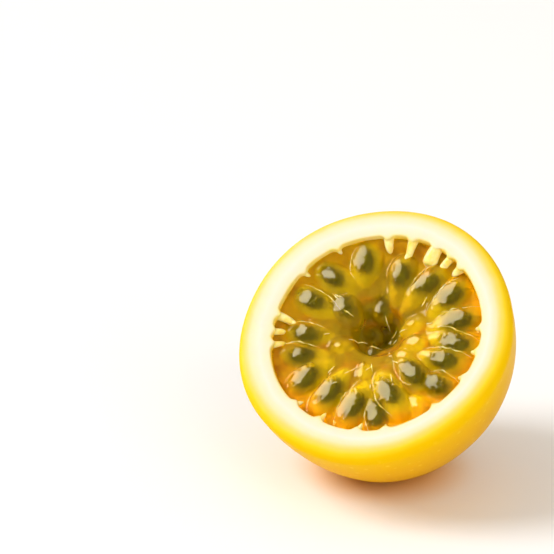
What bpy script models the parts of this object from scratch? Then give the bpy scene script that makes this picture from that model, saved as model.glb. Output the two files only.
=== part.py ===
"""Half of a yellow passion fruit: a thick cup of rind, tipped towards -Y, full of seedy pulp.

Metres, +Z up, the origin in the middle of the small flat spot that the half rests on.
The fruit's own frame has +Z along the fruit's axis, out of the cut face, and its origin in the middle of that face.
"""

import math

import bpy
from mathutils import Matrix, Vector

MM = 0.001

# The half as a whole, in millimetres and degrees.
TILT = math.radians(43)  # from the cut face lying level, towards -Y
REST_SPOT_SINK = 0.5  # how far the round belly is pressed flat
SEGMENTS = 72  # facets round the fruit's axis

# The body's profile is a superellipse: an exponent of 2 is an ellipse, and more is fuller.
FULLNESS = 2.12
BODY_RADIUS = 33.4
BODY_DEPTH = 45.0
SHOULDER_RADIUS = 2.6  # the rounded outer edge of the cut face
FACE_CROWN = 0.2  # the cut face bulges a little between its edges

# The hollow that the pulp fills.
CAVITY_RADIUS = 25.6
CAVITY_DEPTH = 38.0
CAVITY_SHIFT = 0.6  # the hollow stands this far off the body's axis, towards +X
MOUTH_RADIUS = 0.4  # the rounded inner edge of the cut face
PULP_GAP = 0.3  # between the rind's inner wall and the pulp

# The fruit isn't quite round: (times round, share of the radius, angle of a crest).
LOBES = ((2, 0.008, math.radians(70)), (5, 0.005, math.radians(68)))

# The pulp's bed, between and below the sacs: its distance from the pit's middle and its height.
BED = (
    (0, -12.0), (2.5, -11.2), (5, -8.4), (7.5, -5.6), (10, -4.5),
    (14, -4.0), (18, -4.2), (22, -4.0), (26, -3.4),
)
PIT = (-0.9, 2.7)  # the pit's middle stands this far off the axis
PIT_REACH = 22  # and the bed is round the axis again from this distance outwards
BED_RINGS = 16

# The juice sacs: (angle in degrees and distance from the axis of the seed, how far the sac runs inwards and
# outwards of it, width, height of the top, how many degrees it leans off the line to the axis).
SACS = (
    (3, 19.4, 10.5, 7.5, 6.8, -1.3, -12),
    (20, 19.6, 10.0, 7.5, 6.8, -1.2, 6),
    (40, 20.0, 10.5, 7.1, 8.0, -1.3, 20),
    (60, 17.4, 10.0, 6.9, 7.4, -1.2, -3),
    (84, 16.6, 8.5, 6.5, 7.2, -1.3, 8),
    (113, 20.2, 9.0, 6.9, 9.0, -1.0, -14),
    (138, 20.0, 10.0, 7.3, 8.6, -1.1, 15),
    (161, 19.2, 9.5, 7.7, 8.4, -1.2, -6),
    (188, 17.4, 9.0, 6.7, 6.8, -1.6, -5),
    (206, 18.6, 9.5, 7.9, 6.8, -1.6, -18),
    (225, 19.4, 10.5, 7.1, 7.6, -1.3, 6),
    (247, 17.8, 9.5, 8.5, 7.4, -1.2, 6),
    (269, 18.8, 10.5, 7.7, 7.6, -1.3, -12),
    (285, 20.2, 6.5, 6.5, 5.6, -1.8, 5),
    (297, 16.0, 9.0, 9.3, 8.4, -0.9, 14),
    (324, 14.0, 7.5, 5.7, 7.0, -1.2, -10),
    (330, 20.2, 5.4, 6.9, 7.6, -1.6, 15),
    (348, 18.2, 9.2, 8.5, 7.2, -1.2, 8),
    (148, 11.6, 5.6, 3.8, 7.6, -2.0, -7),
    (99, 8.4, 3.6, 3.6, 6.8, -4.8, 0),
    (143, 3.8, 2.8, 3.0, 4.8, -7.4, 0),
    (234, 2.6, 2.4, 2.8, 4.4, -8.0, 30),
    (312, 20.8, 3.8, 5.9, 6.4, -1.9, 0),
    (359, 9.8, 4.4, 3.4, 6.2, -2.6, 0),
    (335, 8.8, 4.0, 3.4, 5.4, -3.0, 0),
    (265, 9.6, 4.4, 3.6, 6.6, -3.0, 10),
    (205, 9.4, 4.0, 3.8, 6.8, -3.1, -12),
    (30, 9.4, 4.2, 3.6, 6.0, -3.0, 0),
)
SAC_ROUNDNESS = 0.42  # a sac's height over its middle as a share of its width
INNER_FALL = (0.10, 0.005)  # how a crest falls inwards of its seed: for each millimetre, and for each one squared
OUTER_FALL = 0.012  # and outwards, for each millimetre squared

# How each piece's profile is stepped.
WALL_STEPS = 11
SHOULDER_STEPS = 5
MOUTH_STEPS = 3
FACE_STEPS = 3


def clear_scene():
    for thing in list(bpy.data.objects):
        bpy.data.objects.remove(thing)


def lobed(radius, angle):
    """The radius at that angle round the axis, with the fruit's slight swellings."""
    swell = sum(share * math.cos(times * (angle - crest)) for times, share, crest in LOBES)
    return radius * (1 + swell)


def wall(radius, depth, top, steps):
    """(distance from the axis, height) down a superellipse, from the depth `top` to just short of its pole."""
    first = math.asin((top / depth) ** (FULLNESS / 2))
    points = []
    for step in range(steps):
        turn = first + (math.pi / 2 - first) * step / steps
        points.append((radius * math.cos(turn) ** (2 / FULLNESS), -depth * math.sin(turn) ** (2 / FULLNESS)))
    return points


def wall_radius(radius, depth, at_depth):
    """The superellipse's distance from the axis at a depth below the cut face."""
    return radius * (1 - (at_depth / depth) ** FULLNESS) ** (1 / FULLNESS)


def arc(middle, radius, start, end, steps):
    """(distance from the axis, height) along an arc, both ends included. Angles in degrees, 0 outwards and 90 up."""
    turns = [math.radians(start + (end - start) * step / steps) for step in range(steps + 1)]
    return [(middle[0] + radius * math.cos(turn), middle[1] + radius * math.sin(turn)) for turn in turns]


def rind_profile():
    """The rind's section, from the bottom of the hollow over the rim and down to just short of the belly's pole.

    Each point is (distance from the axis, height, how far its ring is shifted with the hollow).
    """
    inner = wall(CAVITY_RADIUS, CAVITY_DEPTH, MOUTH_RADIUS, WALL_STEPS)
    outer = wall(BODY_RADIUS, BODY_DEPTH, SHOULDER_RADIUS, WALL_STEPS + 1)
    mouth_middle = (inner[0][0] + MOUTH_RADIUS, -MOUTH_RADIUS)
    shoulder_middle = (outer[0][0] - SHOULDER_RADIUS, -SHOULDER_RADIUS)
    mouth = arc(mouth_middle, MOUTH_RADIUS, 180, 90, MOUTH_STEPS)
    shoulder = arc(shoulder_middle, SHOULDER_RADIUS, 90, 0, SHOULDER_STEPS)
    face = []
    for step in range(1, FACE_STEPS):
        share = step / FACE_STEPS
        across = mouth_middle[0] + (shoulder_middle[0] - mouth_middle[0]) * share
        face.append((across, FACE_CROWN * math.sin(math.pi * share), CAVITY_SHIFT * (1 - share)))
    hollow = [(*point, CAVITY_SHIFT) for point in inner[:0:-1] + mouth]
    body = [(*point, 0) for point in shoulder + outer[1:]]
    return hollow + face + body


def bed_height(x, y):
    """The pulp's bed under a point, eased between the named heights, with the pit off the axis."""
    share = max(0, 1 - math.hypot(x, y) / PIT_REACH)
    distance = math.hypot(x - PIT[0] * share, y - PIT[1] * share)
    for (near, low), (far, high) in zip(BED, BED[1:]):
        if distance <= far:
            share = (distance - near) / (far - near)
            return low + (high - low) * share * share * (3 - 2 * share)
    return BED[-1][1]


def sac_height(x, y, angle, distance, inwards, outwards, width, top, lean):
    """The height of one sac's domed top over a point, or the pit's depth where the sac isn't over it."""
    place = math.radians(angle)
    turn = math.radians(angle + lean)
    from_seed = (x - distance * math.cos(place), y - distance * math.sin(place))
    along = from_seed[0] * math.cos(turn) + from_seed[1] * math.sin(turn)
    across = from_seed[1] * math.cos(turn) - from_seed[0] * math.sin(turn)
    middle = (outwards - inwards) / 2
    half_length = (outwards + inwards) / 2
    left = 1 - ((along - middle) / half_length) ** 2 - (2 * across / width) ** 2
    if left <= 0:
        return BED[0][1]
    drop = SAC_ROUNDNESS * width * (1 - math.sqrt(left))
    if along > 0:
        return top - drop - OUTER_FALL * along**2
    return top - drop + INNER_FALL[0] * along - INNER_FALL[1] * along**2


def pulp_height(x, y):
    """The pulp's top over a point: the bed, or the highest sac there."""
    return max([bed_height(x, y)] + [sac_height(x, y, *sac) for sac in SACS])


def turned_rings(profile):
    """A ring of points for each point of a profile, in the fruit's own frame."""
    rings = []
    for distance, height, shift in profile:
        ring = []
        for segment in range(SEGMENTS):
            angle = math.tau * segment / SEGMENTS
            radius = lobed(distance, angle)
            ring.append(Vector((shift + radius * math.cos(angle), radius * math.sin(angle), height)))
        rings.append(ring)
    return rings


def pulp_rings():
    """The pulp's rings, round the hollow's axis: from the pit out over the uneven top, then down the hollow."""
    edge_depth = -BED[-1][1]
    edge = wall_radius(CAVITY_RADIUS - PULP_GAP, CAVITY_DEPTH - PULP_GAP, edge_depth)
    rings = turned_rings([(edge * step / BED_RINGS, 0, 0) for step in range(1, BED_RINGS)])
    for ring in rings:
        for point in ring:
            point.z = pulp_height(point.x, point.y)
    side = wall(CAVITY_RADIUS - PULP_GAP, CAVITY_DEPTH - PULP_GAP, edge_depth, WALL_STEPS)
    return rings + turned_rings([(*point, 0) for point in side])


def closed_solid(name, first_pole, rings, last_pole):
    """A mesh object from rings of points, closed at both ends by a pole, with its faces pointing out."""
    points = [first_pole] + [point for ring in rings for point in ring] + [last_pole]
    faces = []
    for segment in range(SEGMENTS):
        beside = (segment + 1) % SEGMENTS
        faces.append((0, 1 + segment, 1 + beside))
        for ring in range(len(rings) - 1):
            here = 1 + ring * SEGMENTS
            above = here + SEGMENTS
            faces.append((here + segment, above + segment, above + beside, here + beside))
        top = 1 + (len(rings) - 1) * SEGMENTS
        faces.append((top + segment, len(points) - 1, top + beside))
    mesh = bpy.data.meshes.new(name)
    mesh.from_pydata([tuple(point * MM) for point in points], [], faces)
    mesh.validate()
    mesh.shade_smooth()
    solid = bpy.data.objects.new(name, mesh)
    bpy.context.scene.collection.objects.link(solid)
    return solid


def resting_place():
    """The fruit's frame in the world: tipped, with the belly's lowest point just under the origin."""
    power = FULLNESS / (FULLNESS - 1)
    sideways = BODY_RADIUS * math.sin(TILT)
    downwards = BODY_DEPTH * math.cos(TILT)
    reach = (sideways**power + downwards**power) ** (1 / power)
    touch_radius = BODY_RADIUS * (sideways / reach) ** (power - 1)
    touch_depth = BODY_DEPTH * (downwards / reach) ** (power - 1)
    forward = touch_radius * math.cos(TILT) - touch_depth * math.sin(TILT)
    middle = Vector((0, forward, reach - REST_SPOT_SINK)) * MM
    return Matrix.Translation(middle) @ Matrix.Rotation(TILT, 4, "X")


def press_flat(solid):
    """Whatever would be under the ground is pressed up to it, which leaves the small flat spot."""
    for vertex in solid.data.vertices:
        vertex.co.z = max(vertex.co.z, 0)


def finish(solid, colour, roughness):
    """The piece's plain finish: linear colour and roughness."""
    material = bpy.data.materials.new(solid.name)
    material.use_nodes = True
    shader = material.node_tree.nodes["Principled BSDF"]
    shader.inputs["Base Color"].default_value = (*colour, 1)
    shader.inputs["Roughness"].default_value = roughness
    shader.inputs["Metallic"].default_value = 0
    solid.data.materials.append(material)


def build_rind(place):
    rings = turned_rings(rind_profile())
    cavity_pole = Vector((CAVITY_SHIFT, 0, -CAVITY_DEPTH))
    belly_pole = Vector((0, 0, -BODY_DEPTH))
    rind = closed_solid("rind_cup", cavity_pole, rings, belly_pole)
    rind.data.transform(place)
    press_flat(rind)
    finish(rind, (0.93, 0.55, 0.02), 0.35)


def build_pulp(place):
    bottom = Vector((0, 0, PULP_GAP - CAVITY_DEPTH))
    pit = Vector((0, 0, pulp_height(0, 0)))
    pulp = closed_solid("pulp", pit, pulp_rings(), bottom)
    pulp.data.transform(place @ Matrix.Translation((CAVITY_SHIFT * MM, 0, 0)))
    finish(pulp, (0.55, 0.38, 0.01), 0.15)


def main():
    clear_scene()
    place = resting_place()
    build_rind(place)
    build_pulp(place)


main()
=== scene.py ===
import math
import random
from collections import namedtuple

import bmesh
import bpy
import numpy as np
from mathutils import Matrix, Vector, noise
from mathutils.bvhtree import BVHTree


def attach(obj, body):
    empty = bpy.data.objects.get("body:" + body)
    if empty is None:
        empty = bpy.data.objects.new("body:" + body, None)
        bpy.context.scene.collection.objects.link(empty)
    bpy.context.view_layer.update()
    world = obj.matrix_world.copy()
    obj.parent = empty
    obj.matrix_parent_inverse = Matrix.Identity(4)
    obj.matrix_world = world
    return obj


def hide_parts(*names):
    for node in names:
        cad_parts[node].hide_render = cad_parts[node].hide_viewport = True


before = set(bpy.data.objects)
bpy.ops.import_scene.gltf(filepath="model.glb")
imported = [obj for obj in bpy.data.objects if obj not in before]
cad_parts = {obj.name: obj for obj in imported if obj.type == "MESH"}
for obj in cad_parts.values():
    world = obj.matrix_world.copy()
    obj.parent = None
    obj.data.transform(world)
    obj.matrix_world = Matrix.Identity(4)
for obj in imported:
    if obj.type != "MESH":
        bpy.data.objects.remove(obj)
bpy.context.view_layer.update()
mm = 0.001

# The half's own frame: millimetres, +Z out of the cut face, the origin in the middle of that face.
fruit = {
    "tilt": math.radians(43),  # the cut face leans this far from level
    "restSpotSink": 0.5,
    "fullness": 2.12,  # 2 would be an ellipse
    "bodyRadius": 33.4,
    "bodyDepth": 45.0,
    "cavityRadius": 25.6,
    "cavityDepth": 38.0,
    "cavityShift": 0.6,  # the hollow stands this far off the body's axis, towards +X
    "lobes": ((2, 0.008, math.radians(70)), (5, 0.005, math.radians(68))),
}

# angle and distance place the seed; the sac runs so far inwards and outwards of it, its top stands so high,
# and it leans off the line to the axis by so many degrees
Sac = namedtuple("Sac", "angle distance inwards outwards width top lean seeded")
sacRows = [Sac(*row) for row in (
    (3, 19.4, 10.5, 7.5, 6.8, -1.3, -12, 1),
    (20, 19.6, 10.0, 7.5, 6.8, -1.2, 6, 1),
    (40, 20.0, 10.5, 7.1, 8.0, -1.3, 20, 1),
    (60, 17.4, 10.0, 6.9, 7.4, -1.2, -3, 1),
    (84, 16.6, 8.5, 6.5, 7.2, -1.3, 8, 1),
    (113, 20.2, 9.0, 6.9, 9.0, -1.0, -14, 1),
    (138, 20.0, 10.0, 7.3, 8.6, -1.1, 15, 1),
    (161, 19.2, 9.5, 7.7, 8.4, -1.2, -6, 1),
    (188, 17.4, 9.0, 6.7, 6.8, -1.6, -5, 1),
    (206, 18.6, 9.5, 7.9, 6.8, -1.6, -18, 1),
    (225, 19.4, 10.5, 7.1, 7.6, -1.3, 6, 1),
    (247, 17.8, 9.5, 8.5, 7.4, -1.2, 6, 1),
    (269, 18.8, 10.5, 7.7, 7.6, -1.3, -12, 1),
    (285, 20.2, 6.5, 6.5, 5.6, -1.8, 5, 1),
    (297, 16.0, 9.0, 9.3, 8.4, -0.9, 14, 1),
    (324, 14.0, 7.5, 5.7, 7.0, -1.2, -10, 1),
    (330, 20.2, 5.4, 6.9, 7.6, -1.6, 15, 1),
    (348, 18.2, 9.2, 8.5, 7.2, -1.2, 8, 1),
    (148, 11.6, 5.6, 3.8, 7.6, -2.0, -7, 1),
    (99, 8.4, 3.6, 3.6, 6.8, -4.8, 0, 1),
    (143, 3.8, 2.8, 3.0, 4.8, -7.4, 0, 1),
    (234, 2.6, 2.4, 2.8, 4.4, -8.0, 30, 1),
    (312, 20.8, 3.8, 5.9, 6.4, -1.9, 0, 0),
    (359, 9.8, 4.4, 3.4, 6.2, -2.6, 0, 0),
    (335, 8.8, 4.0, 3.4, 5.4, -3.0, 0, 0),
    (265, 9.6, 4.4, 3.6, 6.6, -3.0, 10, 0),
    (205, 9.4, 4.0, 3.8, 6.8, -3.1, -12, 0),
    (30, 9.4, 4.2, 3.6, 6.0, -3.0, 0, 0),
)]

# how far each stalk reaches in from the wall, how thick its foot and tip are, and how deep its foot is
Stalk = namedtuple("Stalk", "angle reach foot tip depth")
stalkRows = [Stalk(*row) for row in (
    (98, 3.4, 2.4, 1.1, 0.9),
    (84, 5.2, 2.3, 0.9, 0.9),
    (70, 4.6, 2.0, 2.8, 1.0),
    (60, 3.2, 1.5, 1.4, 1.4),
    (51, 2.6, 2.4, 0.9, 0.9),
    (127, 1.2, 1.5, 0.6, 0.9),
    (150, 1.4, 1.5, 0.6, 1.0),
    (179, 4.6, 1.9, 1.1, 1.0),
    (189, 2.6, 1.5, 1.0, 1.0),
    (197, 3.0, 1.8, 0.7, 0.9),
    (237, 1.6, 1.5, 0.4, 1.1),
    (254, 2.6, 1.9, 0.4, 0.9),
    (276, 2.4, 1.8, 0.4, 0.9),
    (291, 1.6, 1.4, 0.4, 1.0),
    (319, 1.2, 1.5, 0.6, 0.9),
    (341, 1.4, 1.4, 0.6, 0.9),
    (357, 1.6, 1.5, 0.6, 0.9),
    (11, 1.4, 1.5, 0.6, 0.9),
)]


def linear(hexCode, alpha=1):
    channels = [int(hexCode[start:start + 2], 16) / 255 for start in (0, 2, 4)]
    return [c / 12.92 if c <= 0.04045 else ((c + 0.055) / 1.055) ** 2.4 for c in channels] + [alpha]


def fill(tree, node, inputs):
    for socket, value in dict(inputs).items():
        if isinstance(value, bpy.types.NodeSocket):
            tree.links.new(value, node.inputs[socket])
        else:
            node.inputs[socket].default_value = value


def addNode(tree, kind, inputs=(), **settings):
    node = tree.nodes.new(kind)
    for setting, value in settings.items():
        setattr(node, setting, value)
    fill(tree, node, inputs)
    return node


def colourRamp(tree, share, stops):
    node = addNode(tree, "ShaderNodeValToRGB", {"Fac": share})
    elements = node.color_ramp.elements
    while len(elements) > 1:
        elements.remove(elements[-1])
    for index, (place, hexCode) in enumerate(stops):
        stop = elements[0] if index == 0 else elements.new(place)
        stop.position = place
        stop.color = linear(hexCode)
    return node.outputs["Color"]


def mixColours(tree, share, first, second):
    mix = addNode(tree, "ShaderNodeMix", {"Factor": share, 6: first, 7: second}, data_type="RGBA")
    return mix.outputs[2]


def maths(tree, operation, *values):
    return addNode(tree, "ShaderNodeMath", enumerate(values), operation=operation).outputs[0]


def vectorMaths(tree, operation, *values):
    return addNode(tree, "ShaderNodeVectorMath", enumerate(values), operation=operation).outputs[0]


def mapRange(tree, value, low, high, toLow=0, toHigh=1, **settings):
    ends = {"Value": value, "From Min": low, "From Max": high, "To Min": toLow, "To Max": toHigh}
    return addNode(tree, "ShaderNodeMapRange", ends, **settings).outputs["Result"]


def objectCoords(tree):
    return addNode(tree, "ShaderNodeTexCoord").outputs["Object"]


def attribute(tree, name):
    return addNode(tree, "ShaderNodeAttribute", attribute_name=name).outputs["Fac"]


def softNoise(tree, coords, scale, detail):
    sizes = {"Vector": coords, "Scale": scale, "Detail": detail}
    return addNode(tree, "ShaderNodeTexNoise", sizes).outputs["Fac"]


def bump(tree, height, strength, distance):
    sizes = {"Height": height, "Strength": strength, "Distance": distance}
    return addNode(tree, "ShaderNodeBump", sizes).outputs["Normal"]


def newMaterial(name):
    material = bpy.data.materials.new(name)
    material.use_nodes = True
    tree = material.node_tree
    return material, tree, tree.nodes["Principled BSDF"]


def facePlace():
    power = fruit["fullness"] / (fruit["fullness"] - 1)
    tilt = fruit["tilt"]
    sideways = fruit["bodyRadius"] * math.sin(tilt)
    downwards = fruit["bodyDepth"] * math.cos(tilt)
    reach = (sideways**power + downwards**power) ** (1 / power)
    touchRadius = fruit["bodyRadius"] * (sideways / reach) ** (power - 1)
    touchDepth = fruit["bodyDepth"] * (downwards / reach) ** (power - 1)
    forward = touchRadius * math.cos(tilt) - touchDepth * math.sin(tilt)
    middle = Vector((0, forward, reach - fruit["restSpotSink"])) * mm
    return Matrix.Translation(middle) @ Matrix.Rotation(tilt, 4, "X")


place = facePlace()
toWorld = place @ Matrix.Scale(mm, 4)
# the pulp and all that is in it are built round the hollow's axis
hollowToWorld = toWorld @ Matrix.Translation((fruit["cavityShift"], 0, 0))


def swelling(angle):
    return 1 + sum(share * np.cos(times * (angle - crest)) for times, share, crest in fruit["lobes"])


def easeUp(value, low, high):
    share = np.clip((value - low) / (high - low), 0, 1)
    return share * share * (3 - 2 * share)


def bell(value, middle, spread):
    return np.exp(-((value - middle) / spread) ** 2)


def alongAcross(offX, offY, turn):
    along = offX * math.cos(turn) + offY * math.sin(turn)
    across = offY * math.cos(turn) - offX * math.sin(turn)
    return along, across


def noiseAt(points, size, seed):
    shift = Vector((seed, seed * 1.7, -seed))
    return np.array([noise.noise(Vector(point) / size + shift) for point in points])


def newPiece(name, points, faces, attributes=()):
    mesh = bpy.data.meshes.new(name)
    mesh.from_pydata([tuple(point) for point in points], [], faces)
    for label, values in dict(attributes).items():
        data = mesh.attributes.new(label, "FLOAT", "POINT").data
        data.foreach_set("value", np.asarray(values, np.float32))
    mesh.shade_smooth()
    piece = bpy.data.objects.new(name, mesh)
    bpy.context.scene.collection.objects.link(piece)
    return piece


def settle(piece):
    # turns whatever the modifiers make into a plain mesh, in metres and in its place
    view = bpy.context.evaluated_depsgraph_get()
    mesh = bpy.data.meshes.new_from_object(piece.evaluated_get(view), depsgraph=view)
    mesh.name = piece.name
    piece.modifiers.clear()
    piece.data = mesh
    mesh.transform(hollowToWorld)
    mesh.shade_smooth()
    return piece


def gridFaces(rings, segments):
    faces = []
    for segment in range(segments):
        beside = (segment + 1) % segments
        faces.append((0, 1 + segment, 1 + beside))
        for ring in range(rings - 1):
            here = 1 + ring * segments
            below = here + segments
            faces.append((here + segment, below + segment, below + beside, here + beside))
        last = 1 + (rings - 1) * segments
        faces.append((last + segment, 1 + rings * segments, last + beside))
    return faces


def facePointsOut(mesh):
    work = bmesh.new()
    work.from_mesh(mesh)
    bmesh.ops.recalc_face_normals(work, faces=work.faces)
    work.to_mesh(mesh)
    work.free()


# the cup of rind: soft pith inside, a waxy skin outside
rindCup = {
    "segments": 480,
    "shoulderRadius": 2.6,
    "mouthRadius": 0.4,
    "faceCrown": 0.2,
    "faceWaves": (0.10, 3.5),  # how high the unevenness of the cut is, and how long
    "faceRun": (2.6, 3.4),  # the cut face's middle along the section, and how far it reaches to each side
    "skinWaves": (0.12, 9),
    "dents": 0.4,  # the skin's waves are so much more dents than bumps
    "skinRun": (7, 12),
    "stalkFoot": 1.2,  # how far the pith swells in at each stalk's foot
    "footSwell": 0.6,
    "mostSwell": 1.1,
    "footWidth": 1.0,
    "footRun": (-0.9, 1.3),
    "creamShift": 0.8,  # the pith reaches further out on this side
    "creamSide": math.radians(133),
    "creamRun": (1, 4.5),
    "wallShadeShift": 1.8,  # and the wall of the hollow is painted browner on this side as painted shade, and paler on the other as painted light
    "wallShadeSide": math.radians(300),
    "wallShadeRun": (0.2, 2.5),
    "capRun": 3,  # the bottoms of the hollow and of the body lie this much further along the section
}


def arcPoints(middle, radius, start, end, steps):
    turns = np.radians(np.linspace(start, end, steps + 1))
    return [(middle[0] + radius * math.cos(t), middle[1] + radius * math.sin(t)) for t in turns]


def wallPoints(radius, depth, top, steps):
    power = fruit["fullness"]
    first = math.asin((top / depth) ** (power / 2))
    turns = first + (math.pi / 2 - first) * np.arange(steps) / steps
    return [(radius * math.cos(t) ** (2 / power), -depth * math.sin(t) ** (2 / power)) for t in turns]


def rindProfile():
    mouthRadius, shoulderRadius = rindCup["mouthRadius"], rindCup["shoulderRadius"]
    inner = wallPoints(fruit["cavityRadius"], fruit["cavityDepth"], mouthRadius, 60)
    outer = wallPoints(fruit["bodyRadius"], fruit["bodyDepth"], shoulderRadius, 60)
    mouthMiddle = (inner[0][0] + mouthRadius, -mouthRadius)
    shoulderMiddle = (outer[0][0] - shoulderRadius, -shoulderRadius)
    mouth = arcPoints(mouthMiddle, mouthRadius, 180, 90, 6)
    shoulder = arcPoints(shoulderMiddle, shoulderRadius, 90, 0, 12)
    face = []
    for share in np.arange(1, 16) / 16:
        across = mouthMiddle[0] + (shoulderMiddle[0] - mouthMiddle[0]) * share
        face.append((across, rindCup["faceCrown"] * math.sin(math.pi * share)))
    points = inner[:0:-1] + mouth + face + shoulder + outer[1:]
    start = len(inner) - 1 + 3  # half-way round the mouth's curve the run is 0
    hollow = len(inner) - 1 + len(mouth)
    shift = np.interp(np.arange(len(points)), (hollow - 1, hollow + len(face)), (fruit["cavityShift"], 0))
    return np.array(points), shift, start


def feetSwell(angles):
    swell = np.zeros(len(angles))
    for stalk in stalkRows:
        away = (angles - math.radians(stalk.angle) + math.pi) % math.tau - math.pi
        across = away * fruit["cavityRadius"]
        swell += stalk.foot * rindCup["footSwell"] * bell(across, 0, rindCup["footWidth"])
    return np.minimum(swell, rindCup["mostSwell"])


def makeRind():
    profile, shift, start = rindProfile()
    steps = np.hypot(*np.diff(profile, axis=0).T)
    run = np.concatenate([[0], np.cumsum(steps)])
    run -= run[start]
    segments = rindCup["segments"]
    angles = np.arange(segments) / segments * math.tau
    radius = profile[:, 0][:, None] * swelling(angles)[None, :]
    atFeet = bell(run, *rindCup["footRun"])[:, None] * feetSwell(angles)[None, :]
    radius -= rindCup["stalkFoot"] * atFeet
    x = shift[:, None] + radius * np.cos(angles)
    heights = np.repeat(profile[:, 1][:, None], segments, 1)
    points = np.stack([x, radius * np.sin(angles), heights], -1).reshape(-1, 3)
    runs = np.repeat(run, segments)
    turns = np.tile(angles, len(profile))
    faceMiddle, faceReach = rindCup["faceRun"]
    onFace = np.clip(1 - np.abs(runs - faceMiddle) / faceReach, 0, 1)
    height, length = rindCup["faceWaves"]
    points[:, 2] += noiseAt(points, length, seed=3) * height * onFace
    outward = points / np.linalg.norm(points, axis=1)[:, None]
    onSkin = easeUp(runs, *rindCup["skinRun"])
    height, length = rindCup["skinWaves"]
    waves = (noiseAt(points, length, seed=6) - rindCup["dents"]) * height
    points += outward * (waves * onSkin)[:, None]
    outside = np.cos(turns - rindCup["creamSide"]) * easeUp(runs, *rindCup["creamRun"])
    # the wall's colour is shifted browner on one side and paler on the other: painted shade and painted
    # light
    inside = np.cos(turns - rindCup["wallShadeSide"]) * easeUp(-runs, *rindCup["wallShadeRun"])
    cream = runs - rindCup["creamShift"] * outside - rindCup["wallShadeShift"] * inside
    hollowBottom = [fruit["cavityShift"], 0, -fruit["cavityDepth"]]
    points = np.vstack([hollowBottom, points, [0, 0, -fruit["bodyDepth"]]])
    cream = np.concatenate([[run[0] - rindCup["capRun"]], cream, [run[-1] + rindCup["capRun"]]])
    piece = newPiece("rind", points, gridFaces(len(profile), segments), {"run": cream})
    piece.data.transform(toWorld)
    for vertex in piece.data.vertices:
        vertex.co.z = max(vertex.co.z, 0)
    print("rind:", len(piece.data.polygons), "faces")
    return piece


rindColours = (  # millimetres along the rind's section, from the hollow's wall out over the rim
    (-14, "9E5A04"), (-8, "D08E06"), (-5, "EEA80A"), (-2.6, "FAC010"), (-1.2, "FCCE28"), (-0.5, "FADC5C"),
    (-0.1, "F8E090"), (0.4, "F4E1BE"), (2.2, "F5E5D2"), (4.0, "F4DFB2"), (5.4, "F5D26A"), (6.6, "F4CE28"),
    (7.8, "F1C408"), (10, "EDB904"), (16, "E9AF04"), (30, "E4A604"),
)


def rindMaterial():
    # waxy fruit skin over spongy pith: matt and cream where it is cut, smooth and soft-shining outside
    material, tree, shader = newMaterial("waxySkinAndPith")
    coords = objectCoords(tree)
    run = attribute(tree, "run")
    wobble = maths(tree, "MULTIPLY_ADD", softNoise(tree, coords, 180, 3), 0.9, -0.45)
    first, last = rindColours[0][0], rindColours[-1][0]
    share = mapRange(tree, maths(tree, "ADD", run, wobble), first, last)
    plain = colourRamp(tree, share, [((at - first) / (last - first), colour) for at, colour in rindColours])
    dots = addNode(tree, "ShaderNodeTexVoronoi", {"Vector": coords, "Scale": 360})
    dot = mapRange(tree, dots.outputs["Distance"], 0.10, 0.24, 0.26, 0)
    speck = maths(tree, "MULTIPLY", dot, mapRange(tree, run, 8, 11))
    fill(tree, shader, {
        "Base Color": mixColours(tree, speck, plain, linear("FFDC50")),
        "Roughness": mapRange(tree, run, 4.5, 8, 0.65, 0.38),
        "Normal": bump(tree, softNoise(tree, coords, 1400, 2), 0.12, 0.0002),
        "IOR": 1.33,
        "Specular IOR Level": 0.05,
        "Specular Tint": linear("FFC840"),
        "Subsurface Weight": 0.3,
        "Subsurface Radius": (1, 0.6, 0.15),
        "Subsurface Scale": 0.003,
    })
    return material


# the pulp: cloudy juice below, clear sacs of gel above, a seed in most of them
pulpBed = {
    "profile": ((0, -12.0), (2.5, -11.2), (5, -8.4), (7.5, -5.6), (10, -4.5), (14, -4.0), (18, -4.2),
                (22, -4.0), (26, -3.4)),
    "pit": (-0.9, 2.7),
    "pitReach": 22,
    "segments": 320,
    "rings": 120,
    "ringSpread": 0.9,  # below 1 the rings lie closer towards the wall
    "intoWall": 0.3,
    "waves": (0.12, 2.6),
    "film": 0.55,  # the clear gel over the cloudy juice
    "pocket": 1.5,  # and the deeper gel around each seed
    "shadeLength": 3.9,  # how far the juice is darker round a seed
    "shadeWidth": 2.5,
    "creaseShadeReach": 0.7,  # the painted crease shade shows from this far under the sacs' tops
    "between": 0.8,  # and where two sacs meet it is only this strong
    "climb": 1.3,
    "climbSide": math.radians(145),
    "climbSpread": 0.25,
    "climbRun": (21, 25),
    "innerRing": 12,  # nearer the axis than this the sacs are small and loose
    "blend": 3.0,  # the higher, the sharper the creases
    "skirt": -9,
    "bottom": -20,
}

sacShape = {
    "roundness": 0.42,  # half its height, where it is 1 wide
    "slope": 0.10,  # its crest falls so steeply towards the axis
    "inwardFall": 0.005,
    "outwardFall": 0.012,
}

seedFit = {
    "sacWidth": 5.6,  # a sac narrower or shorter than these holds a smaller seed
    "sacLength": 9.5,
    "pitRing": 10,  # and so does one nearer the axis than this
    "pitSize": 0.86,
    "covers": ((5, 2.7), (12, 2.4), (99, 1.9)),  # within so far of the axis, how deep a seed's middle is
    "turns": (0.6, 0.12, 0.15),  # a seed is rolled, pitched and turned by up to so many radians
    "lengths": (0.92, 1.08),
    "widths": (0.88, 1.06),
}


def bedHeight(x, y):
    # the pit stands off the axis, which matters less and less towards the wall
    nearPit = np.clip(1 - np.hypot(x, y) / pulpBed["pitReach"], 0, 1)
    distance = np.hypot(x - pulpBed["pit"][0] * nearPit, y - pulpBed["pit"][1] * nearPit)
    places, heights = np.array(pulpBed["profile"]).T
    index = np.clip(np.searchsorted(places, distance, side="right") - 1, 0, len(places) - 2)
    share = easeUp(distance, places[index], places[index + 1])
    return heights[index] + (heights[index + 1] - heights[index]) * share


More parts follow.
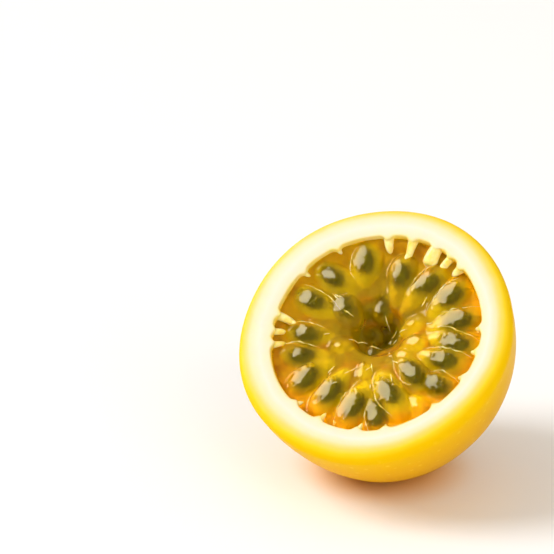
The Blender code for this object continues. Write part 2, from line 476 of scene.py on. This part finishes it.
def climb(x, y):
    # the juice clings to the wall and climbs it, most on one side
    onSide = np.clip(pulpBed["climbSpread"] + np.cos(np.arctan2(y, x) - pulpBed["climbSide"]), 0, 1)
    return pulpBed["climb"] * easeUp(np.hypot(x, y), *pulpBed["climbRun"]) * onSide


def crestFall(along):
    # how far a sac's crest has fallen, this far outwards of its seed
    inwards, outwards = np.clip(-along, 0, None), np.clip(along, 0, None)
    towardsAxis = sacShape["slope"] * inwards + sacShape["inwardFall"] * inwards**2
    return towardsAxis + sacShape["outwardFall"] * outwards**2


def sacSpot(sac):
    # where the sac's seed is, and which way the sac points
    turn, lean = math.radians(sac.angle), math.radians(sac.lean)
    return sac.distance * math.cos(turn), sac.distance * math.sin(turn), turn + lean


def sacHeight(x, y, sac, inset=0.0):
    seedX, seedY, turn = sacSpot(sac)
    along, across = alongAcross(x - seedX, y - seedY, turn)
    middle, half = (sac.outwards - sac.inwards) / 2, (sac.outwards + sac.inwards) / 2 - inset
    left = 1 - ((along - middle) / half) ** 2 - (across / (sac.width / 2 - inset)) ** 2
    drop = sacShape["roundness"] * sac.width * (1 - np.sqrt(np.clip(left, 0, 1)))
    return np.where(left > 0, sac.top - inset - drop - crestFall(along), pulpBed["bottom"])


def coreHeight(x, y):
    # the loose sacs are clear all through, so the cloudy juice doesn't rise into them
    risen = [sac for sac in sacRows if sac.seeded or sac.distance > pulpBed["innerRing"]]
    heights = [bedHeight(x, y)] + [sacHeight(x, y, sac, pulpBed["film"]) for sac in risen]
    blend = pulpBed["blend"]
    return np.log(sum(np.exp(blend * height) for height in heights)) / blend


def seedPlaces():
    chance = random.Random(5)
    places = []
    for sac in sacRows:
        if not sac.seeded:
            continue
        seedX, seedY, turn = sacSpot(sac)
        small = min(1, sac.width / seedFit["sacWidth"], (sac.inwards + sac.outwards) / seedFit["sacLength"])
        if sac.distance <= seedFit["pitRing"]:
            small *= seedFit["pitSize"]
        cover = next(cover for ring, cover in seedFit["covers"] if sac.distance < ring)
        rolled, pitched, turned = [chance.uniform(-most, most) for most in seedFit["turns"]]
        length, width = chance.uniform(*seedFit["lengths"]), chance.uniform(*seedFit["widths"])
        places.append({
            "place": (seedX, seedY, sac.top - cover),
            "turn": (rolled, pitched, turn + turned),
            "size": (length * small, width * small, small),
        })
    return places


def seedShade(points):
    # 1 at a seed's middle, fading to 0 round it
    shade = np.zeros(len(points))
    for seed in seedPlaces():
        x, y = seed["place"][:2]
        along, across = alongAcross(points[:, 0] - x, points[:, 1] - y, seed["turn"][2])
        length, width = pulpBed["shadeLength"] * seed["size"][2], pulpBed["shadeWidth"] * seed["size"][2]
        shade = np.maximum(shade, bell(along, 0, length) * bell(across, 0, width))
    return shade


def creaseShadeShare(points):
    # painted shade: 1 in the creases between the sacs and on the bare bed, 0 on the sacs
    x, y = points[:, 0], points[:, 1]
    bed = bedHeight(x, y)
    tops = np.sort([sacHeight(x, y, sac, pulpBed["film"]) for sac in sacRows], axis=0)
    onBed = easeUp(bed - tops[-1], -pulpBed["creaseShadeReach"], 0.2)
    between = easeUp(tops[-2] - tops[-1], -pulpBed["creaseShadeReach"], 0) * easeUp(tops[-2] - bed, 0, 0.6)
    return np.maximum(onBed, pulpBed["between"] * between)


def makeCore():
    segments, rings = pulpBed["segments"], pulpBed["rings"]
    edge = fruit["cavityRadius"] + pulpBed["intoWall"]
    angles = np.arange(segments) / segments * math.tau
    distances = edge * (np.arange(1, rings + 1) / rings) ** pulpBed["ringSpread"]
    radius = distances[:, None] * swelling(angles)[None, :]
    x = (radius * np.cos(angles)).ravel()
    y = (radius * np.sin(angles)).ravel()
    z = coreHeight(x, y) + climb(x, y)
    height, length = pulpBed["waves"]
    z = z + height * noiseAt(np.stack([x, y, z], -1), length, seed=8)
    points = np.stack([x, y, z], -1)
    skirt = points[-segments:].copy()
    skirt[:, 2] = pulpBed["skirt"]
    middle = coreHeight(np.array([0.0]), np.array([0.0]))[0]
    points = np.vstack([[0, 0, middle], points, skirt, [0, 0, pulpBed["bottom"]]])
    shade = seedShade(points)
    points[:, 2] -= pulpBed["pocket"] * shade**2
    reach = np.hypot(points[:, 0] - pulpBed["pit"][0], points[:, 1] - pulpBed["pit"][1])
    values = {"reach": reach, "seedShade": shade, "paintedCreaseShade": creaseShadeShare(points)}
    piece = newPiece("pulp_core", points, gridFaces(rings + 1, segments), values)
    piece.data.transform(hollowToWorld)
    print("pulp core:", len(piece.data.polygons), "faces")
    return piece


juiceReach = 26  # millimetres from the pit to the wall, along which the colours are placed
# darker towards the pit at 0: painted shade of the deep pit
juiceColours = (
    (0, "A68808"), (3, "A68808"), (6, "B09208"), (9, "BAA006"), (13, "C2AE08"), (18, "D2C00A"),
    (21.5, "DAC808"), (24, "DEBA08"), (26, "DCAA06"),
)
# darker than the juice at every reach, for the creases and the bare bed: painted shade
creaseShadeColours = (
    (0, "6E5A04"), (8, "8C7604"), (14, "A08204"), (18, "BC9604"), (22, "DCB006"), (26, "E4A606"),
)


def coreMaterial():
    # cloudy fruit juice held in cells: soft and deep yellow; its darker, browner colour towards the deep
    # pit and in the creases is painted shade
    material, tree, shader = newMaterial("cloudyJuice")
    coords = objectCoords(tree)
    wobble = maths(tree, "MULTIPLY_ADD", softNoise(tree, coords, 260, 4), 5, -2.5)
    share = mapRange(tree, maths(tree, "ADD", attribute(tree, "reach"), wobble), 0, juiceReach)
    onSacs = colourRamp(tree, share, [(at / juiceReach, colour) for at, colour in juiceColours])
    creases = colourRamp(tree, share, [(at / juiceReach, colour) for at, colour in creaseShadeColours])
    # dark orange-brown patches in the creases: painted shadow in the hollows
    shadowHoles = mapRange(tree, softNoise(tree, coords, 210, 2), 0.5, 0.62, 0, 0.75)
    withShadowHoles = mixColours(tree, shadowHoles, creases, linear("B06C04"))
    creased = mixColours(tree, attribute(tree, "paintedCreaseShade"), onSacs, withShadowHoles)
    underSeeds = mapRange(tree, attribute(tree, "seedShade"), 0.12, 0.55, 0, 0.92)
    fill(tree, shader, {
        "Base Color": mixColours(tree, underSeeds, creased, linear("4A3402")),
        "Roughness": 0.6,
        "IOR": 1.36,
        "Specular IOR Level": 0.2,
        "Subsurface Weight": 0.3,
        "Subsurface Radius": (1, 0.85, 0.2),
        "Subsurface Scale": 0.0015,
    })
    return material


# the clear gel: one skin over all the sacs, because they press together
juiceSacs = {
    "voxel": 0.295,
    "smoothing": 6,
    "uneven": (0.34, 3.2),  # how high the skin's unevenness is, and how long
    "crinkle": (0.09, 1.1),
    "layer": 0.7,  # how deep the gel lies over the bed
    "bend": 0.9,
    "rounds": 28,
    "stations": 22,
    "outerEnd": 3.4,  # the blunt end
    "innerEnd": 2.2,
    "club": 0.2,  # how much thicker a sac is towards its blunt end
}


def sacPoints(sac, chance):
    seedX, seedY, turn = sacSpot(sac)
    turned = Matrix.Translation((seedX, seedY, 0)) @ Matrix.Rotation(turn, 4, "Z")
    bend = chance.uniform(-1, 1) * juiceSacs["bend"]
    rounds, stations = juiceSacs["rounds"], juiceSacs["stations"]
    halfHeight = sacShape["roundness"] * sac.width
    points = []
    for station in range(stations + 1):
        share = -math.cos(math.pi * station / stations)  # -1 is the inner end, 1 the outer
        blunt = juiceSacs["outerEnd"] if share > 0 else juiceSacs["innerEnd"]
        girth = math.sqrt(max(0, 1 - abs(share) ** blunt)) * (1 + juiceSacs["club"] * share)
        along = (sac.outwards - sac.inwards) / 2 + share * (sac.outwards + sac.inwards) / 2
        sway = bend * (1 - share) ** 2 / 4
        middle = sac.top - halfHeight - float(crestFall(along))
        if station in (0, stations):
            points.append(turned @ Vector((along, sway, middle)))
            continue
        for step in range(rounds):
            around = math.tau * step / rounds
            across = girth * sac.width / 2 * math.cos(around)
            height = girth * halfHeight * math.sin(around)
            points.append(turned @ Vector((along, sway + across, middle + height)))
    return points, gridFaces(stations - 1, rounds)


def gelBed():
    # a layer of gel over the whole bed, which the sacs stand out of
    segments, rings, under = 160, 60, 1.6
    angles = np.arange(segments) / segments * math.tau
    distances = (fruit["cavityRadius"] + 0.1) * np.arange(1, rings + 1) / rings
    radius = distances[:, None] * swelling(angles)[None, :]
    x, y = (radius * np.cos(angles)).ravel(), (radius * np.sin(angles)).ravel()
    z = bedHeight(x, y) + climb(x, y) + juiceSacs["layer"]
    upper = np.stack([x, y, z], -1).reshape(rings, segments, 3)
    lower = (upper - np.array([0, 0, under]))[::-1]
    middle = float(bedHeight(np.array([0.0]), np.array([0.0]))[0]) + juiceSacs["layer"]
    ends = [0, 0, middle], [0, 0, middle - under]
    points = np.vstack([ends[0], upper.reshape(-1, 3), lower.reshape(-1, 3), ends[1]])
    return [Vector(point) for point in points], gridFaces(rings * 2, segments)


# the skin is pulled flat over each seed's broad side, and all these flats dip towards the same side
flats = {
    "dip": math.radians(18),
    "side": math.radians(178),
    "shift": 1.2,
    "length": 4.6,
    "width": 3.0,
    "sacWidth": 6.4,  # they are smaller on a sac narrower than this
    "ragged": (0.7, 0.9),  # how uneven their edges are, and how long the unevenness is
    "plain": 0.55,  # how large they are on a sac without a seed
    "sizes": (0.75, 1.2),
    "wide": 0.3,  # this much wider on one side of the half
    "wideSide": math.radians(-30),
    "pull": 0.92,
    "edge": (0.8, 1.35),
    "depth": (0.9, 1.5),
}


def pullFlat(spots, normals):
    chance = random.Random(17)
    sideX, sideY = math.cos(flats["side"]), math.sin(flats["side"])
    unevenness, span = flats["ragged"]
    ragged = noiseAt(spots, span, seed=9) * unevenness
    onTop = easeUp(normals[:, 2], 0.2, 0.5)
    for sac in sacRows:
        seedX, seedY, turn = sacSpot(sac)
        size = (1 if sac.seeded else flats["plain"]) * min(1, sac.width / flats["sacWidth"])
        size *= chance.uniform(*flats["sizes"])
        x, y = seedX + flats["shift"] * size * sideX, seedY + flats["shift"] * size * sideY
        middle = float(sacHeight(np.array([x]), np.array([y]), sac)[0])
        size *= 1 + flats["wide"] * max(0, math.cos(math.radians(sac.angle) - flats["wideSide"]))
        slope = math.tan(flats["dip"] * chance.uniform(0.9, 1.1))
        offX, offY = spots[:, 0] - x, spots[:, 1] - y
        along, across = alongAcross(offX, offY, turn)
        length = flats["length"] * size * (0.8 + 0.5 * abs(math.sin(turn)))
        away = np.hypot(along / (length / 2), across / (flats["width"] * size / 2)) + ragged
        flat = middle - slope * (offX * sideX + offY * sideY)
        near = 1 - easeUp(np.abs(spots[:, 2] - flat), *flats["depth"])
        share = flats["pull"] * (1 - easeUp(away, *flats["edge"])) * onTop * near
        spots[:, 2] += share * (flat - spots[:, 2])


def makeSacs():
    chance = random.Random(11)
    points, faces = [], []
    shapes = [sacPoints(sac, chance) for sac in sacRows] + [gelBed()]
    for more, moreFaces in shapes:
        base = len(points)
        points += more
        faces += [tuple(base + corner for corner in face) for face in moreFaces]
    piece = newPiece("juice_sacs", points, faces)
    facePointsOut(piece.data)
    remesh = piece.modifiers.new("join", "REMESH")
    remesh.mode = "VOXEL"
    remesh.voxel_size = juiceSacs["voxel"]
    smooth = piece.modifiers.new("soften", "SMOOTH")
    smooth.factor = 0.5
    smooth.iterations = juiceSacs["smoothing"]
    view = bpy.context.evaluated_depsgraph_get()
    mesh = bpy.data.meshes.new_from_object(piece.evaluated_get(view), depsgraph=view)
    piece.modifiers.clear()
    piece.data = mesh
    spots = np.zeros(len(mesh.vertices) * 3)
    mesh.vertices.foreach_get("co", spots)
    spots = spots.reshape(-1, 3)
    normals = np.array([vertex.normal for vertex in mesh.vertices])
    height, length = juiceSacs["uneven"]
    fineHeight, fineLength = juiceSacs["crinkle"]
    swell = height * noiseAt(spots, length, seed=2) + fineHeight * noiseAt(spots, fineLength, seed=4)
    spots = spots + normals * swell[:, None]
    pullFlat(spots, normals)
    mesh.vertices.foreach_set("co", spots.ravel())
    mesh.update()
    corners = [tuple(face.vertices) for face in mesh.polygons]
    gelTop = BVHTree.FromPolygons([tuple(spot) for spot in spots], corners)
    mesh.transform(hollowToWorld)
    mesh.shade_smooth()
    print("juice sacs:", len(mesh.polygons), "faces")
    return piece, gelTop


def gelMaterial():
    # clear fruit gel under a wet skin: the seeds show through softly and the lamp shines off it sharply
    material, tree, shader = newMaterial("wetGel")
    coords = objectCoords(tree)
    fine = bump(tree, softNoise(tree, coords, 900, 4), 0.2, 0.0001)
    fill(tree, shader, {
        "Base Color": colourRamp(tree, softNoise(tree, coords, 300, 3), ((0.3, "E2CE02"), (0.7, "ECDC06"))),
        "Normal": fine,
        "Coat Normal": fine,
        "Roughness": 0.85,
        "IOR": 1.33,
        "Specular Tint": linear("2A2404"),
        "Specular IOR Level": 0.0,
        "Transmission Weight": 0.92,
        "Coat Weight": 0.3,
        "Coat IOR": 1.42,
        "Coat Roughness": 0.09,
    })
    return material


def finishGroup(tree, shapes, material):
    real = addNode(tree, "GeometryNodeRealizeInstances", {"Geometry": shapes.outputs[0]})
    dressed = addNode(tree, "GeometryNodeSetMaterial", {"Geometry": real.outputs[0], "Material": material})
    addNode(tree, "NodeGroupOutput", {0: dressed.outputs[0]})


def makeTubes(name, lines, sides, material):
    # stalks and strands are both tubes along lines, and each line is a list of (x, y, z, girth)
    points, edges, girths = [], [], []
    for line in lines:
        base = len(points)
        points += [spot[:3] for spot in line]
        girths += [spot[3] for spot in line]
        edges += [(base + step, base + step + 1) for step in range(len(line) - 1)]
    mesh = bpy.data.meshes.new(name)
    mesh.from_pydata(points, edges, [])
    data = mesh.attributes.new("girth", "FLOAT", "POINT").data
    data.foreach_set("value", np.array(girths, np.float32))
    piece = bpy.data.objects.new(name, mesh)
    bpy.context.scene.collection.objects.link(piece)
    tree = bpy.data.node_groups.new(name + "Tubes", "GeometryNodeTree")
    tree.interface.new_socket("Lines", in_out="INPUT", socket_type="NodeSocketGeometry")
    sideInput = tree.interface.new_socket("Sides", in_out="INPUT", socket_type="NodeSocketInt").identifier
    tree.interface.new_socket("Tubes", in_out="OUTPUT", socket_type="NodeSocketGeometry")
    start = addNode(tree, "NodeGroupInput").outputs
    girth = addNode(tree, "GeometryNodeInputNamedAttribute", {"Name": "girth"}, data_type="FLOAT")
    curve = addNode(tree, "GeometryNodeMeshToCurve", {0: start["Lines"]})
    ring = addNode(tree, "GeometryNodeCurvePrimitiveCircle", {"Resolution": start["Sides"], "Radius": 1.0})
    along = {"Curve": curve.outputs[0], "Profile Curve": ring.outputs[0], "Scale": girth.outputs[0],
             "Fill Caps": True}
    tube = addNode(tree, "GeometryNodeCurveToMesh", along)
    finishGroup(tree, tube, material)
    grow = piece.modifiers.new("tubes", "NODES")
    grow.node_group = tree
    grow[sideInput] = sides
    settle(piece)
    facePointsOut(piece.data)
    piece.data.shade_smooth()
    print(name + ":", len(lines), "of them,", len(piece.data.polygons), "faces")
    return piece


def gelLevel(gelTop, x, y, default=-4.0):
    hit = gelTop.ray_cast(Vector((x, y, 10)), Vector((0, 0, -1)))[0]
    return hit.z if hit else default


stalkShape = {
    "steps": 16,
    "rooted": 0.5,  # how far its foot is in the wall
    "longer": 0.8,
    "lean": 0.16,
    "droop": 0.35,
    "sunk": 0.3,  # a foot's middle lies lower by this share of its thickness
    "freeFrom": 0.4,  # from this share of its length on, it lies on the gel
    "girth": 0.7,
    "tipFrom": 0.66,  # from this share of its length on, its tip is rounded
}


def stalkLines(gelTop):
    # cream stalks that held the seeds to the wall
    chance = random.Random(3)
    lines = []
    for stalk in stalkRows:
        turn = math.radians(stalk.angle)
        wall = fruit["cavityRadius"] * float(swelling(turn)) + stalkShape["rooted"]
        lean = chance.uniform(-stalkShape["lean"], stalkShape["lean"])
        line = []
        for step in range(stalkShape["steps"] + 1):
            share = step / stalkShape["steps"]
            far = wall - (stalk.reach + stalkShape["longer"]) * share
            around = turn + lean * share**2 * stalk.reach / 10
            x, y = far * math.cos(around), far * math.sin(around)
            sunk = stalk.foot * stalkShape["sunk"]
            height = -stalk.depth - sunk - stalkShape["droop"] * stalk.reach * share**1.5
            if share > stalkShape["freeFrom"]:
                height = max(height, gelLevel(gelTop, x, y) - 0.1)
            tipShare = max(0, share - stalkShape["tipFrom"]) / (1 - stalkShape["tipFrom"])
            rounded = math.sqrt(max(0.01, 1 - tipShare**2))
            thickness = stalk.foot + (stalk.tip - stalk.foot) * share**0.6
            line.append((x, y, height, stalkShape["girth"] * thickness * rounded))
        lines.append(line)
    return lines


# pale strands laid on the sacs' lit flanks and loose over the gel: painted highlight lines and glints
strands = {
    "girth": 0.17,
    "least": 0.012,
    "steps": 24,
    "proud": 0.03,  # how far its middle stands above the gel
    "shown": 0.85,  # the share of the large sacs whose edge shows
    "litSide": math.radians(150),
    "loose": 22,
    "looseFrom": (2.5, 17),
    "looseLength": (1.2, 3.2),
    "looseGirth": 0.153,
    "looseDrift": 0.5,
    "looseSteps": 10,
    "looseProud": 0.02,
}


def edgeStrand(sac, chance, gelTop):
    seedX, seedY, turn = sacSpot(sac)
    side = 1 if math.cos(turn + math.pi / 2 - strands["litSide"]) > 0 else -1
    first = sac.outwards * chance.uniform(0.5, 0.9)
    last = -sac.inwards * chance.uniform(0.3, 0.9)
    offset = side * sac.width * chance.uniform(0.36, 0.5)
    phase = chance.uniform(0, math.tau)
    line = []
    for step in range(strands["steps"] + 1):
        share = step / strands["steps"]
        along = first + (last - first) * share
        wobble = 0.12 * math.sin(phase + 9 * share) + 0.06 * math.sin(phase + 31 * share)
        across = offset * math.sin(math.pi * (0.12 + 0.76 * share)) ** 0.5 + wobble
        x = seedX + along * math.cos(turn) - across * math.sin(turn)
        y = seedY + along * math.sin(turn) + across * math.cos(turn)
        uneven = 0.6 + 0.4 * math.sin(phase + 23 * share)
        girth = strands["girth"] * math.sin(math.pi * share) ** 0.7 * uneven
        line.append((x, y, gelLevel(gelTop, x, y) + strands["proud"], max(girth, strands["least"])))
    return line


def looseStrand(chance, gelTop):
    turn = chance.uniform(0, math.tau)
    first, length = chance.uniform(*strands["looseFrom"]), chance.uniform(*strands["looseLength"])
    drift = chance.uniform(-strands["looseDrift"], strands["looseDrift"])
    line = []
    for step in range(strands["looseSteps"] + 1):
        share = step / strands["looseSteps"]
        far = first - length * share
        around = turn + drift * share * 2 / far
        x, y = far * math.cos(around), far * math.sin(around)
        girth = strands["looseGirth"] * math.sin(math.pi * share) ** 0.7
        height = gelLevel(gelTop, x, y) + strands["looseProud"]
        line.append((x, y, height, max(girth, strands["least"])))
    return line


def strandLines(gelTop):
    # pale tubes along the sacs' lit edges and loose over the gel: partly the sacs' real skin edges, partly
    # painted highlight lines
    chance = random.Random(21)
    lines = []
    for sac in sacRows:
        shown = chance.random() < strands["shown"]
        if shown and sac.seeded and sac.distance >= pulpBed["innerRing"]:
            lines.append(edgeStrand(sac, chance, gelTop))
    for _ in range(strands["loose"]):
        lines.append(looseStrand(chance, gelTop))
    return lines


def stalkMaterial():
    # the same soft pith as the rind's, wet with juice
    material, tree, shader = newMaterial("wetPith")
    soft = softNoise(tree, objectCoords(tree), 500, 3)
    fill(tree, shader, {
        "Base Color": colourRamp(tree, soft, ((0.3, "FFD84E"), (0.66, "FFEFA4"))),
        "Roughness": 0.3,
        "IOR": 1.4,
        "Subsurface Weight": 0.4,
        "Subsurface Radius": (1, 0.7, 0.2),
        "Subsurface Scale": 0.0015,
    })
    return material


def highlightStrandMaterial():
    # wet sac skin folded on itself and shiny; its pale colour is painted highlight
    material, tree, shader = newMaterial("paleHighlightEdges")
    soft = softNoise(tree, objectCoords(tree), 700, 2)
    fill(tree, shader, {
        "Base Color": colourRamp(tree, soft, ((0.35, "FFE050"), (0.6, "FFF6A8"))),
        "Roughness": 0.15,
        "IOR": 1.4,
    })
    return material


# hard flat seeds, pitted all over
seedShape = {"Length": 5.9, "Width": 3.1, "Thickness": 2.4, "Pits": 0.10}
seedBall = {"taper": 0.34, "pitScale": 1.5}


def makeSeeds(material):
    rows = seedPlaces()
    cloud = newPiece("seeds", [row["place"] for row in rows], [])
    for label in ("turn", "size"):
        data = cloud.data.attributes.new(label, "FLOAT_VECTOR", "POINT").data
        data.foreach_set("vector", np.array([row[label] for row in rows], np.float32).ravel())
    tree = bpy.data.node_groups.new("seedsOnPoints", "GeometryNodeTree")
    sockets = tree.interface
    sockets.new_socket("Points", in_out="INPUT", socket_type="NodeSocketGeometry")
    sizes = {label: sockets.new_socket(label, in_out="INPUT", socket_type="NodeSocketFloat").identifier
             for label in seedShape}
    sockets.new_socket("Seeds", in_out="OUTPUT", socket_type="NodeSocketGeometry")
    start = addNode(tree, "NodeGroupInput").outputs
    ball = addNode(tree, "GeometryNodeMeshIcoSphere", {"Radius": 0.5, "Subdivisions": 5})
    spot = addNode(tree, "GeometryNodeInputPosition").outputs[0]
    axes = addNode(tree, "ShaderNodeSeparateXYZ", {"Vector": spot})
    taper = maths(tree, "MULTIPLY_ADD", axes.outputs["X"], seedBall["taper"], 1.0)
    scale = addNode(tree, "ShaderNodeCombineXYZ", {"X": start["Length"], "Y": start["Width"],
                                                   "Z": start["Thickness"]})
    slim = addNode(tree, "ShaderNodeCombineXYZ", {"X": 1, "Y": taper, "Z": taper})
    sized = vectorMaths(tree, "MULTIPLY", spot, scale.outputs[0])
    shaped = vectorMaths(tree, "MULTIPLY", sized, slim.outputs[0])
    pits = addNode(tree, "ShaderNodeTexVoronoi", {"Vector": shaped, "Scale": seedBall["pitScale"]})
    depth = maths(tree, "MULTIPLY", pits.outputs["Distance"], start["Pits"])
    normal = addNode(tree, "GeometryNodeInputNormal").outputs[0]
    push = addNode(tree, "ShaderNodeVectorMath", {0: normal, "Scale": depth}, operation="SCALE")
    final = vectorMaths(tree, "ADD", shaped, push.outputs[0])
    seed = addNode(tree, "GeometryNodeSetPosition", {"Geometry": ball.outputs["Mesh"], "Position": final})
    turn = addNode(tree, "GeometryNodeInputNamedAttribute", {"Name": "turn"}, data_type="FLOAT_VECTOR")
    size = addNode(tree, "GeometryNodeInputNamedAttribute", {"Name": "size"}, data_type="FLOAT_VECTOR")
    laying = {"Points": start["Points"], "Instance": seed.outputs[0], "Rotation": turn.outputs[0],
              "Scale": size.outputs[0]}
    laid = addNode(tree, "GeometryNodeInstanceOnPoints", laying)
    finishGroup(tree, laid, material)
    grow = cloud.modifiers.new("grow", "NODES")
    grow.node_group = tree
    for label, value in seedShape.items():
        grow[sizes[label]] = value
    settle(cloud)
    print("seeds:", len(rows), "of them,", len(cloud.data.polygons), "faces")
    return cloud


def seedMaterial():
    # hard pitted seed coat: dark olive brown and a little glossy
    material, tree, shader = newMaterial("seedCoat")
    blotch = softNoise(tree, objectCoords(tree), 900, 3)
    fill(tree, shader, {
        "Base Color": colourRamp(tree, blotch, ((0.3, "100A02"), (0.7, "302204"))),
        "Roughness": 0.4,
    })
    return material


studio = {
    "cameraAzimuth": math.radians(22.9),
    "cameraElevation": math.radians(20),
    "distance": 0.400,
    "lens": 110,
    "faceRight": 22.4 * mm,  # how far right of the view's middle the cut face's middle stands
    "faceUp": -12.3 * mm,
    "paintedBounceShade": (0.010, 0.025),  # painted bounce light and contact shadow: the table top is painted in the fruit's colour within so many metres of it
    "lampDistance": 6,
}

lamps = (  # name, azimuth, elevation, size, watts, colour, whether it lights or only shines
    ("key", -68, 42, 3.4, 264, "F9FAFD", "lights"),
    ("fill", 50, 26, 5.6, 142, "FFFAF2", "lights"),
    ("shine", -88, 41, 3.4, 880, "FFF2CE", "shines"),
)
sky = {"low": 0.44, "high": 0.59, "rise": (0.15, 0.6), "colour": "FFFAF2"}  # a pale room, brighter overhead


def makeStage():
    bpy.ops.mesh.primitive_plane_add(size=6, location=(0, 0, 0))
    floor = bpy.context.object
    floor.name = "floor"
    material, tree, shader = newMaterial("paleTableTop")
    away = addNode(tree, "ShaderNodeVectorMath", {0: objectCoords(tree)}, operation="LENGTH")
    # warm orange on the table near the fruit: painted bounce light and contact shadow
    far = mapRange(tree, away.outputs["Value"], *studio["paintedBounceShade"], interpolation_type="SMOOTHSTEP")
    fill(tree, shader, {
        "Base Color": mixColours(tree, far, linear("F2CA80"), linear("FAFAFA")),
        "Roughness": 0.6,
    })
    floor.data.materials.append(material)
    azimuth, elevation = studio["cameraAzimuth"], studio["cameraElevation"]
    right = Vector((math.cos(azimuth), math.sin(azimuth), 0))
    back = Vector((math.sin(azimuth) * math.cos(elevation), -math.cos(azimuth) * math.cos(elevation),
                   math.sin(elevation)))
    up = back.cross(right)
    lens = bpy.data.cameras.new("camera")
    lens.lens = studio["lens"]
    lens.clip_start = 0.01
    camera = bpy.data.objects.new("camera", lens)
    bpy.context.scene.collection.objects.link(camera)
    middle = place.to_translation() - right * studio["faceRight"] - up * studio["faceUp"]
    turned = Matrix((right, up, back)).transposed().to_4x4()
    camera.matrix_world = Matrix.Translation(middle + back * studio["distance"]) @ turned
    bpy.context.scene.camera = camera


def makeLights():
    for name, azimuth, elevation, size, watts, colour, role in lamps:
        lamp = bpy.data.lights.new(name, "AREA")
        lamp.shape = "DISK"
        lamp.size = size
        lamp.energy = watts
        lamp.color = linear(colour)[:3]
        holder = bpy.data.objects.new(name, lamp)
        bpy.context.scene.collection.objects.link(holder)
        a, e = math.radians(azimuth), math.radians(elevation)
        direction = Vector((math.sin(a) * math.cos(e), -math.cos(a) * math.cos(e), math.sin(e)))
        holder.location = direction * studio["lampDistance"]
        holder.rotation_euler = direction.to_track_quat("Z", "Y").to_euler()
        holder.visible_glossy = role == "shines"
        holder.visible_diffuse = holder.visible_transmission = role == "lights"
    world = bpy.data.worlds.new("studio")
    bpy.context.scene.world = world
    world.use_nodes = True
    tree = world.node_tree
    coords = addNode(tree, "ShaderNodeTexCoord")
    axes = addNode(tree, "ShaderNodeSeparateXYZ", {"Vector": coords.outputs["Generated"]})
    level = mapRange(tree, axes.outputs["Z"], *sky["rise"], sky["low"], sky["high"])
    fill(tree, tree.nodes["Background"], {"Color": linear(sky["colour"]), "Strength": level})
    bpy.context.scene.view_settings.view_transform = "Standard"


def enter(piece, node=None):
    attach(piece, "root")
    if node:
        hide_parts(node)


makeStage()
makeLights()

rind = makeRind()
rind.data.materials.append(rindMaterial())
enter(rind, "rind_cup")

core = makeCore()
core.data.materials.append(coreMaterial())
enter(core, "pulp")

sacs, gelTop = makeSacs()
sacs.data.materials.append(gelMaterial())
enter(sacs)

seeds = makeSeeds(seedMaterial())
enter(seeds)

stalks = makeTubes("seed_stalks", stalkLines(gelTop), 14, stalkMaterial())
enter(stalks)

# pale lines along the sacs' lit edges: painted highlights
edgeHighlights = makeTubes("sac_edge_highlights", strandLines(gelTop), 6, highlightStrandMaterial())
enter(edgeHighlights)
